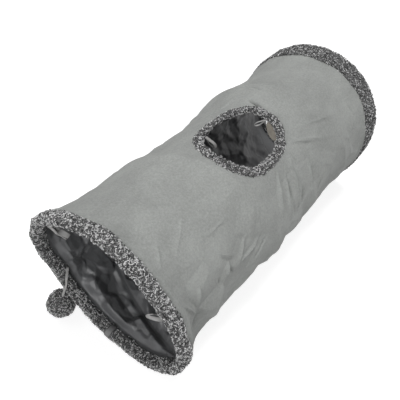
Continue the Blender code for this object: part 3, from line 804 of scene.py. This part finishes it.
def spiral():
    """The wire and its woven sleeve, which the cloths hide."""
    wire = spiral_path(-LAP_TURNS, SPIRAL_TURNS + LAP_TURNS, 280)
    coil = add_piece("coil_wire", *tube(wire, WIRE_RADIUS, WIRE_SIDES), [STEEL])
    folds_up(stands_for(coil, "near_end", "steel", "spring_coil"))
    ends = np.array([NEAR_FLAT_Y + CHANNEL / 2, FAR_FLAT_Y - CHANNEL / 2])
    covered = spiral_path(*(ends - NEAR_Y - WIRE_STEP) / PITCH, 240)
    casing = add_piece("coil_casing", *tube(covered, SLEEVE_RADIUS, WIRE_SIDES), [SLEEVE])
    folds_up(stands_for(casing, "near_end", "sleeve", "coil_sleeve"))


def near_hoop():
    """The near hoop, bent as its rim is."""
    angles = circle(200)
    path = bent(polar(HOOP_RADIUS, angles, NEAR_Y))
    out = WIRE_RADIUS * outward(angles)
    points = ring_points(path, out, np.cross(closed_ahead(path), out), WIRE_SIDES)
    faces = grid_faces(len(path), WIRE_SIDES, wrap_rows=True, wrap_columns=True)
    stands_for(add_piece("hoop_wire", points, faces, [STEEL]), "near_end", "steel", "near_hoop")


# Fleece
CURL_RINGS = 5
CURL_SIDES = 4
CURL_RADIUS = (0.0008, 0.0018)
CURL_SWEEP = (1.5, 3.6)  # radians
CURL_RISE = 0.0008
YARN_RADIUS = (0.00040, 0.00066)
CURL_FOOT = 0.4  # how high a curl starts, in piles
CURL_TILT = (-0.5, 0.7)
YARN_END_SHARE = 0.6
FLOOR_CLEAR = 0.0001
# For each fleece: square metres to a curl, seed, and the shares of dark, grey and light yarn
FLEECES = {
    "near": (4.2e-6, 41, (0.31, 0.26, 0.43)),
    "far": (5.5e-6, 39, (0.44, 0.30, 0.26)),
    "hole": (4.0e-6, 60, (0.37, 0.27, 0.36)),
    "ball": (4.0e-6, 80, (0.34, 0.28, 0.38)),
}


def scatter(points, faces, area_each, seed):
    """Random places spread evenly over quads, with the surface's normal at each."""
    chance = np.random.default_rng(seed)
    corners = points[faces]
    areas = np.cross(corners[:, 2] - corners[:, 0], corners[:, 3] - corners[:, 1]) / 2
    sizes = np.linalg.norm(areas, axis=1)
    count = int(sizes.sum() / area_each)
    which = chance.choice(len(faces), count, p=sizes / sizes.sum())
    u, v = chance.random((2, count, 1))
    a, b, c, d = np.moveaxis(corners[which], 1, 0)
    return (a * (1 - u) + b * u) * (1 - v) + (d * (1 - u) + c * u) * v, unit(areas[which])


def curls(places, normals, shares, seed):
    """Small open loops of yarn lying on a surface. Returns their points, faces and each face's yarn."""
    chance = np.random.default_rng(seed)
    count = len(places)
    aside = unit(np.cross(normals, unit(chance.normal(size=(count, 3)))))
    other = np.cross(normals, aside)
    radius = chance.uniform(*CURL_RADIUS, (count, 1))
    first = chance.uniform(0, TURN, (count, 1))
    along = np.linspace(0, 1, CURL_RINGS)[None, :]
    turn = first + chance.uniform(*CURL_SWEEP, (count, 1)) * along
    lift = PILE * CURL_FOOT + radius * chance.uniform(*CURL_TILT, (count, 1)) * np.sin(turn - first)
    lift += np.sin(math.pi * along) * chance.uniform(0, CURL_RISE, (count, 1))
    path = places[:, None] + (radius * np.cos(turn))[..., None] * aside[:, None]
    path += (radius * np.sin(turn))[..., None] * other[:, None]
    path += np.clip(lift, 0, None)[..., None] * normals[:, None]
    ahead = unit(np.gradient(path, axis=1))
    side = unit(np.cross(ahead, normals[:, None]))
    up = np.cross(ahead, side)
    thick = chance.uniform(*YARN_RADIUS, (count, 1)) * np.ones(CURL_RINGS)
    thick[:, [0, -1]] *= YARN_END_SHARE
    ring = circle(CURL_SIDES)[:, None]
    ring = side[:, :, None] * np.cos(ring) + up[:, :, None] * np.sin(ring)
    points = path[:, :, None] + thick[..., None, None] * ring
    one = np.concatenate(capped_tube_faces(CURL_RINGS, CURL_SIDES))
    faces = (one[None] + CURL_RINGS * CURL_SIDES * np.arange(count)[:, None, None]).reshape(-1, CURL_SIDES)
    colour = chance.choice(len(shares), count, p=shares)
    return points.reshape(-1, 3), faces, np.repeat(colour, len(one))


def fleece_piece(kind, ground, faces, ends=None):
    """A knitted ground with curls of three yarns all over it, as one mesh."""
    area_each, seed, shares = FLEECES[kind]
    places, normals = scatter(ground, faces, area_each, seed)
    curl_points, curl_faces, colour = curls(places, normals, shares, seed + 1)
    points = np.concatenate([ground, curl_points])
    points[:, 2] = np.maximum(points[:, 2], FLOOR_CLEAR)
    groups = [np.concatenate([faces, curl_faces + len(ground)])]
    slots = [np.full(len(faces), len(YARNS)), colour]
    if ends is not None:
        groups.append(ends)
        slots.append(np.full(len(ends), len(YARNS)))
    return add_piece(kind + "_fleece", points, groups, [*YARNS, FLEECE_GROUND], np.concatenate(slots))


HEM = 0.0025  # how far round the ends of a band's legs turn in
BAND_EDGE_SWELL = (0.0009, 0.03)  # height and size
BAND_SWELL = (0.0004, 0.012)


def band_skin(kind, hoop_y, inwards, reach, inner, fuller, inside):
    """The knitted ground of a band: outer leg, roll round the hoop, inner leg. inwards is 1 or -1 along Y.

    The reach and how thick it is outside and inside are given by angle. inner is the inner leg's share of it.
    """
    outer, edge = ROLL - PILE, HEM
    angles = circle(BAND_AROUND)
    seed = FLEECES[kind][1]
    tall, size = BAND_EDGE_SWELL
    reach = reach + tall * swell(polar(HOOP_RADIUS, angles, hoop_y), size, seed)
    inner = inner * reach
    nose = np.linspace(0, math.pi, 12)
    legs = np.linspace(1, 0, 5, endpoint=False)
    outs = [CHANNEL / 2, outer - edge, *[outer] * len(legs), *(outer * np.cos(nose))]
    outs += [*[-outer] * len(legs), edge - outer, -CHANNEL / 2]
    alongs = [reach - PILE / 2, reach, *[(reach - edge) * share for share in legs]]
    alongs += [np.full_like(reach, -outer * math.sin(turn)) for turn in nose]
    alongs += [*[(inner - edge) * share for share in legs[::-1]], inner, inner - PILE / 2]
    outs, alongs = np.array(outs)[None, :], np.stack(alongs, axis=1)
    outs = outs * np.where(outs < 0, inside[:, None], fuller[:, None])
    points = polar(HOOP_RADIUS + outs, angles[:, None], hoop_y + inwards * alongs).reshape(-1, 3)
    middle = polar(HOOP_RADIUS, np.repeat(angles, outs.shape[1]), hoop_y)
    points = swollen(points, unit(points - middle), *BAND_SWELL, seed + 1)
    faces = grid_faces(BAND_AROUND, outs.shape[1], wrap_rows=True)
    return points, faces[:, ::-1] if inwards > 0 else faces


# How much further a band reaches, or by what share it's fuller: about which angle, its spread and how much
FAR_REACH_CHANGES = ((105, 22, 0.006), (15, 22, 0.003), (50, 18, -0.002))
FAR_FULLER = ((160, 22, -0.38), (352, 16, -0.30))
FAR_INSIDE_FULLER = ((214, 12, 1.0),)
FAR_INNER_SHARE = 0.10  # short, so that the folded lining and spiral stay clear of it
NEAR_FULLER = ((178, 14, -0.20), (208, 12, 0.16), (278, 26, -0.16))
NEAR_SHORTER = 0.0045


def changes(table):
    """The changes in a table, summed by angle round a band."""
    angles = np.linspace(0, 360, BAND_AROUND, endpoint=False)
    return sum(size * bell(angles, at, spread) for at, spread, size in table)


def fleece_bands():
    fuller = 1 + changes(NEAR_FULLER)
    points, faces = band_skin("near", NEAR_Y, 1, NEAR_REACH - NEAR_SHORTER, 1, fuller, fuller)
    stands_for(fleece_piece("near", bent(points), faces), "near_end", "fleece", "near_fleece_band")
    fuller = 1 + changes(FAR_FULLER)
    reach, inside = FAR_REACH + changes(FAR_REACH_CHANGES), fuller + changes(FAR_INSIDE_FULLER)
    points, faces = band_skin("far", FAR_Y, -1, reach, FAR_INNER_SHARE, fuller, inside)
    stands_for(fleece_piece("far", points, faces), "far_end", "fleece", "far_fleece_band")


HOLE_THIN_AT = (72, 42)  # degrees round the hole, and the spread
HOLE_THINNING = 0.3
HOLE_PILE_SHARE = 0.7  # of the pile, outside this roll's knitted ground
HOLE_SWELL = (0.0006, 0.011, 5)  # height, size and seed


def hole_fleece():
    share = np.linspace(0, 1, HOLE_AROUND, endpoint=False)
    thin = HOLE_THINNING * bell(360 * share, *HOLE_THIN_AT)
    angle, y = hole_place(share, HOLE_ROLL_HALF_WIDTH * 0.5 * thin)
    centres = polar(middle_radius(angle, y), angle, y)
    up = outward(angle)
    side = unit(np.cross(closed_ahead(centres), up))
    full, pile, sides = 1 - thin[:, None], PILE * HOLE_PILE_SHARE, 20
    across = side * (HOLE_ROLL_HALF_WIDTH - pile) * full
    points = ring_points(centres, across, up * (HOLE_ROLL_HALF_HEIGHT - pile) * full, sides)
    out = unit(points - centres[:, None]).reshape(-1, 3)
    points = swollen(points.reshape(-1, 3), out, *HOLE_SWELL)
    faces = grid_faces(HOLE_AROUND, sides, wrap_rows=True, wrap_columns=True)
    piece = fleece_piece("hole", points, faces[:, ::-1])
    folds_up(stands_for(piece, "near_end", "fleece", "peek_hole_band"))


BALL_STRETCH = (1.03, 1.01, 0.93)  # the stuffed ball is a little flattened
BALL_POLE = 0.04  # radians from its poles to their rings
BALL_SWELL = (0.0007, 0.010, 9)  # height, size and seed
BALL_FLAT = 0.0006  # how much of its underside is flat


def ball_fleece():
    rows, columns = 20, 36
    down = np.linspace(BALL_POLE, math.pi - BALL_POLE, rows)[:, None]
    turn = circle(columns)[None, :]
    directions = (np.sin(down) * np.cos(turn), np.sin(down) * np.sin(turn), np.cos(down))
    directions = np.stack(np.broadcast_arrays(*directions), axis=-1).reshape(-1, 3)
    points = directions * (BALL_RADIUS - PILE) * np.array(BALL_STRETCH)
    points = swollen(points, directions, *BALL_SWELL)
    points[:, 2] = np.maximum(points[:, 2], PILE - BALL_RADIUS + BALL_FLAT)
    sides, ends = capped_tube_faces(rows, columns)
    points += np.array(BALL_CENTRE)
    piece = fleece_piece("ball", points, sides[:, ::-1], ends[:, ::-1])
    return stands_for(piece, "toy", "fleece", "toy_ball")


# Ribbons
STRIP_SIDES = 14
RIBBON_THICKNESS = 0.0007
EDGE_POWERS = (0.5, 0.6)  # how square a flat ribbon's edges are, across and in height


def strip(name, path, facing, width, thickness, looks, stripes=()):
    """A flat ribbon with round edges. facing is where its face looks along the path.

    Stripes of the second look lie between two distances each from its middle line, in widths.
    """
    path, facing = np.asarray(path), np.asarray(facing)
    ahead = unit(np.gradient(path, axis=0))
    side = unit(np.cross(ahead, facing))
    up = unit(np.cross(side, ahead))
    turn = np.linspace(TURN, 0, STRIP_SIDES, endpoint=False)
    across = squarer(np.cos(turn), EDGE_POWERS[0]) * width / 2
    height = squarer(np.sin(turn), EDGE_POWERS[1]) * thickness / 2
    points = path[:, None] + side[:, None] * across[None, :, None] + up[:, None] * height[None, :, None]
    middle = np.abs(across + np.roll(across, -1)) / 2 / width
    striped = sum(((low < middle) & (middle < high)).astype(int) for low, high in stripes) + 0 * turn
    slots = [*np.tile(striped, len(path) - 1), 0, 0]
    return add_piece(name, points, capped_tube_faces(len(path), STRIP_SIDES), looks, slots)


# Shares of its length and of half the gap between its strands
LOOP_SHAPE = ((0.0, 0.25), (0.3, 0.6), (0.6, 1.0), (0.86, 0.78), (1.0, 0.0))
LOOP_MIDDLE = 0.55  # the share of its length that its faces look away from
LOOP_STEPS = 6


def loop_piece(name, root, hang, axis, width, gap, twist):
    """A ribbon folded into a hanging loop, whose strands turn a little as they go."""
    root, hang, axis = np.array(root), np.array(hang), unit(np.array(axis, float))
    spread = unit(np.cross(axis, hang))
    out = [root + hang * along + spread * gap / 2 * half for along, half in LOOP_SHAPE]
    home = [root + hang * along - spread * gap / 2 * half for along, half in LOOP_SHAPE[-2::-1]]
    path = through_points(out + home, LOOP_STEPS)
    from_middle = path - root - hang * LOOP_MIDDLE
    facing = unit(from_middle - np.outer(from_middle @ axis, axis))
    facing += axis * twist * np.sin(np.linspace(0, math.pi, len(path)))[:, None]
    return strip(name, path, facing, width, RIBBON_THICKNESS, [RIBBON])


# Loops: name, node, place, hang, ribbon width, gap between the strands and twist. The place is an angle in
# degrees on the near rim, or a share of the way round the hole.
MOUTH_LOOP_SET_BACK = 0.013
MOUTH_LOOP_CLEAR = 0.0003
HOLE_LOOP_CLEAR = 0.0004
MOUTH_LOOPS = (
    ("upper_loop", "near_upper_loop", 148, (0.026, 0.0105, -0.018), 0.0100, 0.0036, 0.2),
    ("side_loop", "near_side_loop", 22, (-0.038, -0.014, -0.0141), 0.0052, 0.0095, 0.5),
)
HOLE_LOOPS = (
    ("hole_loop_near", "hole_near_loop", 0.34, (0.0146, 0.0073, -0.018), 0.005, 0.0065, 0.8),
    ("hole_loop_far", "hole_far_loop", 0.99, (-0.0150, -0.010, -0.0110), 0.0028, 0.0070, 0.2),
)


def loops():
    inside = HOOP_RADIUS - ROLL - MOUTH_LOOP_CLEAR
    for name, node, turn, hang, width, gap, twist in MOUTH_LOOPS:
        root = bent(polar(inside, math.radians(turn), NEAR_Y + MOUTH_LOOP_SET_BACK))
        piece = loop_piece(name, root, hang, (0, 1, 0), width, gap, twist)
        stands_for(piece, "near_end", "ribbon", node)
    for name, node, share, hang, width, gap, twist in HOLE_LOOPS:
        angle, y = hole_place(share, -HOLE_ROLL_HALF_WIDTH - HOLE_LOOP_CLEAR - gap / 8)
        root = polar(middle_radius(angle, y)[0], angle, y)
        piece = loop_piece(name, root, hang, np.cross(hang, outward(angle)), width, gap, twist)
        folds_up(stands_for(piece, "near_end", "ribbon", node))


STRAP_TURN = math.radians(-100)
STRAP_WIDTH = 0.012
STRAP_THICKNESS = 0.0011
STRAP_CLEAR = 0.0001
STRAP_LEG = 0.011  # inside the tunnel
STRAP_LAST = math.radians(-62)  # where it ends on the roll, from the outside, 0, over the front, -90
STRAP_STRIPES = ((0.10, 0.19), (0.36, 0.50))


def tie_strap():
    """A strap with three pale stripes, laid over the near band."""
    up = outward(STRAP_TURN)
    off = ROLL + STRAP_CLEAR
    hoop = polar(HOOP_RADIUS, STRAP_TURN, NEAR_Y)
    path = [polar(HOOP_RADIUS - off, STRAP_TURN, NEAR_Y + STRAP_LEG)]
    facing = [-up]
    for step in np.linspace(-math.pi, STRAP_LAST, 18):
        out = up * math.cos(step) + np.array([0, math.sin(step), 0])
        path.append(hoop + out * off)
        facing.append(out)
    looks = [STRAP_LIGHT, STRAP_DARK]
    piece = strip("striped_strap", path, facing, STRAP_WIDTH, STRAP_THICKNESS, looks, STRAP_STRIPES)
    stands_for(piece, "near_end", "ribbon", "tie_strap")


BALL_RIBBON_WIDTH = 0.0045
BALL_RIBBON_THICKNESS = 0.0008
BALL_RIBBON_CLEAR = 0.0020
BALL_RIBBON_SET_BACK = 0.0124
# Its way over the near band: degrees round the rim, degrees on the roll from inside, 180, to front, 90, and
# how much of the set-back
OVER_ROLL = ((-150.5, 178, 0), (-148, 160, 0), (-146, 138, 0), (-144.5, 116, 0))
BALL_RIBBON_WAY = ((-158, 180, 1), (-154, 180, 0.5), *OVER_ROLL)
BALL_RIBBON_END = (0.006, 0.003, 0.0230)  # from the ball's centre
BALL_RIBBON_STEPS = 5
BALL_RIBBON_TURNING = 1.6  # how soon along it its face has turned to the front


def ball_ribbon(ball):
    """The ball's ribbon, from its seam inside the near band over the roll and down to the ball."""
    off = ROLL + BALL_RIBBON_CLEAR
    points = []
    for around, turn, back in BALL_RIBBON_WAY:
        angle, turn = math.radians(around), math.radians(turn)
        out = outward(angle) * math.cos(turn) - np.array([0, math.sin(turn), 0])
        points.append(polar(HOOP_RADIUS, angle, NEAR_Y + back * BALL_RIBBON_SET_BACK) + out * off)
    points.append(np.array(BALL_CENTRE) + np.array(BALL_RIBBON_END))
    path = through_points(points, BALL_RIBBON_STEPS)
    share = np.linspace(0, 1, len(path))[:, None]
    ease = np.clip(share * BALL_RIBBON_TURNING, 0, 1)
    facing = unit(-outward(angle) * (1 - ease) + np.array([0, -1.0, 0]) * ease)
    piece = strip("toy_ribbon", path, facing, BALL_RIBBON_WIDTH, BALL_RIBBON_THICKNESS, [RIBBON])
    stands_for(piece, "toy", "ribbon", "ball_ribbon")


TAG_LENGTH = 0.038
TAG_WIDTH = 0.0138
TAG_THICKNESS = 0.0011
TAG_SHARE = 0.915  # of the way round the hole
TAG_PROBE = 1 / 32
TAG_CLEAR = 0.001
TAG_TIP = 0.985  # of its half length, where its end rings lie
TAG_TAPER = 0.12
TAG_CUP = (0.0010, 0.0008)  # how far its edges stand up, across and along
TAG_POWERS = (0.6, 0.5)  # how square its section is


def tag():
    """The blank felt tag at the rim of the peek hole, slightly cupped."""
    grow = -HOLE_ROLL_HALF_WIDTH - TAG_CLEAR - TAG_WIDTH / 2
    angle, y = hole_place(np.array([TAG_SHARE - TAG_PROBE, TAG_SHARE, TAG_SHARE + TAG_PROBE]), grow)
    before, middle, after = polar(middle_radius(angle, y), angle, y)
    along = unit(after - before)
    across = unit(np.cross(outward(angle[1]), along))
    up = np.cross(along, across)
    u = np.linspace(-TAG_TIP, TAG_TIP, 29)[:, None]
    turn = circle(20)[None, :]
    v = squarer(np.cos(turn), TAG_POWERS[0])
    skin = squarer(np.sin(turn), TAG_POWERS[1]) * TAG_THICKNESS / 2
    half = TAG_WIDTH / 2 * np.sqrt(1 - u * u) * (1 - TAG_TAPER * u)
    lift = TAG_CUP[0] * v * v + TAG_CUP[1] * u * u + skin
    points = middle + (TAG_LENGTH / 2 * u)[..., None] * along + (half * v)[..., None] * across
    piece = add_piece("felt_tag", points + lift[..., None] * up, capped_tube_faces(u.size, turn.size), [TAG])
    folds_up(stands_for(piece, "near_end", "tag", "hole_tag"))


# Stage
STAGE_HALF = 8
FLOOR_LEVEL = 0.42
FLOOR_GLOW = 0.78
WORLD_LIGHT = 0.18
LIGHTS = (
    ("key", (0.3, 0.9, 4.1), 1.2, 94),
    ("front", (0.6, -1.7, 1.0), 0.9, 17),
    ("fill", (1.0, 0.25, 0.5), 1.0, 1.3),
    ("side", (-1.6, -0.8, 1.8), 1.4, 9),
)


def light(name, place, size, power):
    lamp = bpy.data.lights.new(name, "AREA")
    lamp.shape = "DISK"
    lamp.size = size
    lamp.energy = power
    made = bpy.data.objects.new(name, lamp)
    made.location = place
    made.rotation_mode = "QUATERNION"
    made.rotation_quaternion = (Vector((0, 0, AXIS_HEIGHT)) - Vector(place)).to_track_quat("-Z", "Y")
    collection.objects.link(made)


def background_rays(tree):
    """1 for rays that should see the plain white background, straight or in a reflection."""
    path = add_node(tree, "LightPath")
    total = path.outputs["Is Camera Ray"]
    for name in ("Is Glossy Ray", "Is Transmission Ray"):
        either = add_node(tree, "Math", operation="MAXIMUM")
        tree.links.new(total, either.inputs[0])
        tree.links.new(path.outputs[name], either.inputs[1])
        total = either.outputs[0]
    return total


def floor_look():
    """A pale floor that the camera sees as the background, with the object's shadow on it."""
    look = Look("floor", roughness=0.9)
    look.shader.inputs["Base Color"].default_value = (*grey(FLOOR_LEVEL), 1)
    tree = look.tree
    glow = add_node(tree, "Emission")
    strength = add_node(tree, "Math", {1: FLOOR_GLOW}, operation="MULTIPLY")
    tree.links.new(background_rays(tree), strength.inputs[0])
    tree.links.new(strength.outputs[0], glow.inputs["Strength"])
    both = add_node(tree, "AddShader")
    tree.links.new(look.shader.outputs[0], both.inputs[0])
    tree.links.new(glow.outputs[0], both.inputs[1])
    tree.links.new(both.outputs[0], tree.nodes["Material Output"].inputs["Surface"])
    return look.material


def stage():
    corners = [(x * STAGE_HALF, y * STAGE_HALF, 0) for x, y in ((-1, -1), (1, -1), (1, 1), (-1, 1))]
    add_piece("floor", corners, np.array([[0, 1, 2, 3]]), [floor_look()])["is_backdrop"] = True
    world = bpy.context.scene.world or bpy.data.worlds.new("studio")
    bpy.context.scene.world = world
    world.use_nodes = True
    tree = world.node_tree
    back = tree.nodes["Background"]
    back.inputs["Color"].default_value = (1, 1, 1, 1)
    strength = add_node(tree, "MapRange", {"To Min": WORLD_LIGHT, "To Max": 1})
    tree.links.new(background_rays(tree), strength.inputs["Value"])
    tree.links.new(strength.outputs["Result"], back.inputs["Strength"])
    for name, place, size, power in LIGHTS:
        light(name, place, size, power)


def camera():
    data = bpy.data.cameras.new("camera")
    data.lens = CAMERA_LENS_MM
    data.sensor_width = SENSOR_MM
    data.clip_start = 0.01
    made = bpy.data.objects.new("camera", data)
    place = Matrix.Translation(CAMERA_PLACE)
    for angle, axis in ((CAMERA_HEADING, "Z"), (CAMERA_TILT, "X"), (CAMERA_ROLL, "Z")):
        place = place @ Matrix.Rotation(angle, 4, axis)
    made.matrix_world = place
    collection.objects.link(made)
    bpy.context.scene.camera = made


camera()
stage()
ball_ribbon(ball_fleece())
cloths()
spiral()
near_hoop()
fleece_bands()
hole_fleece()
loops()
tie_strap()
tag()
for node, look in (("far_hoop", STEEL), ("near_crimp", FERRULE), ("far_crimp", FERRULE)):
    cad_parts[node].material_slots[0].material = look
bpy.context.scene.view_settings.view_transform = "Standard"

bpy.context.view_layer.update()
boxes = {"cad": cad_box, "visual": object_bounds()}
{key: [list(corner) for corner in box] for key, box in boxes.items()}
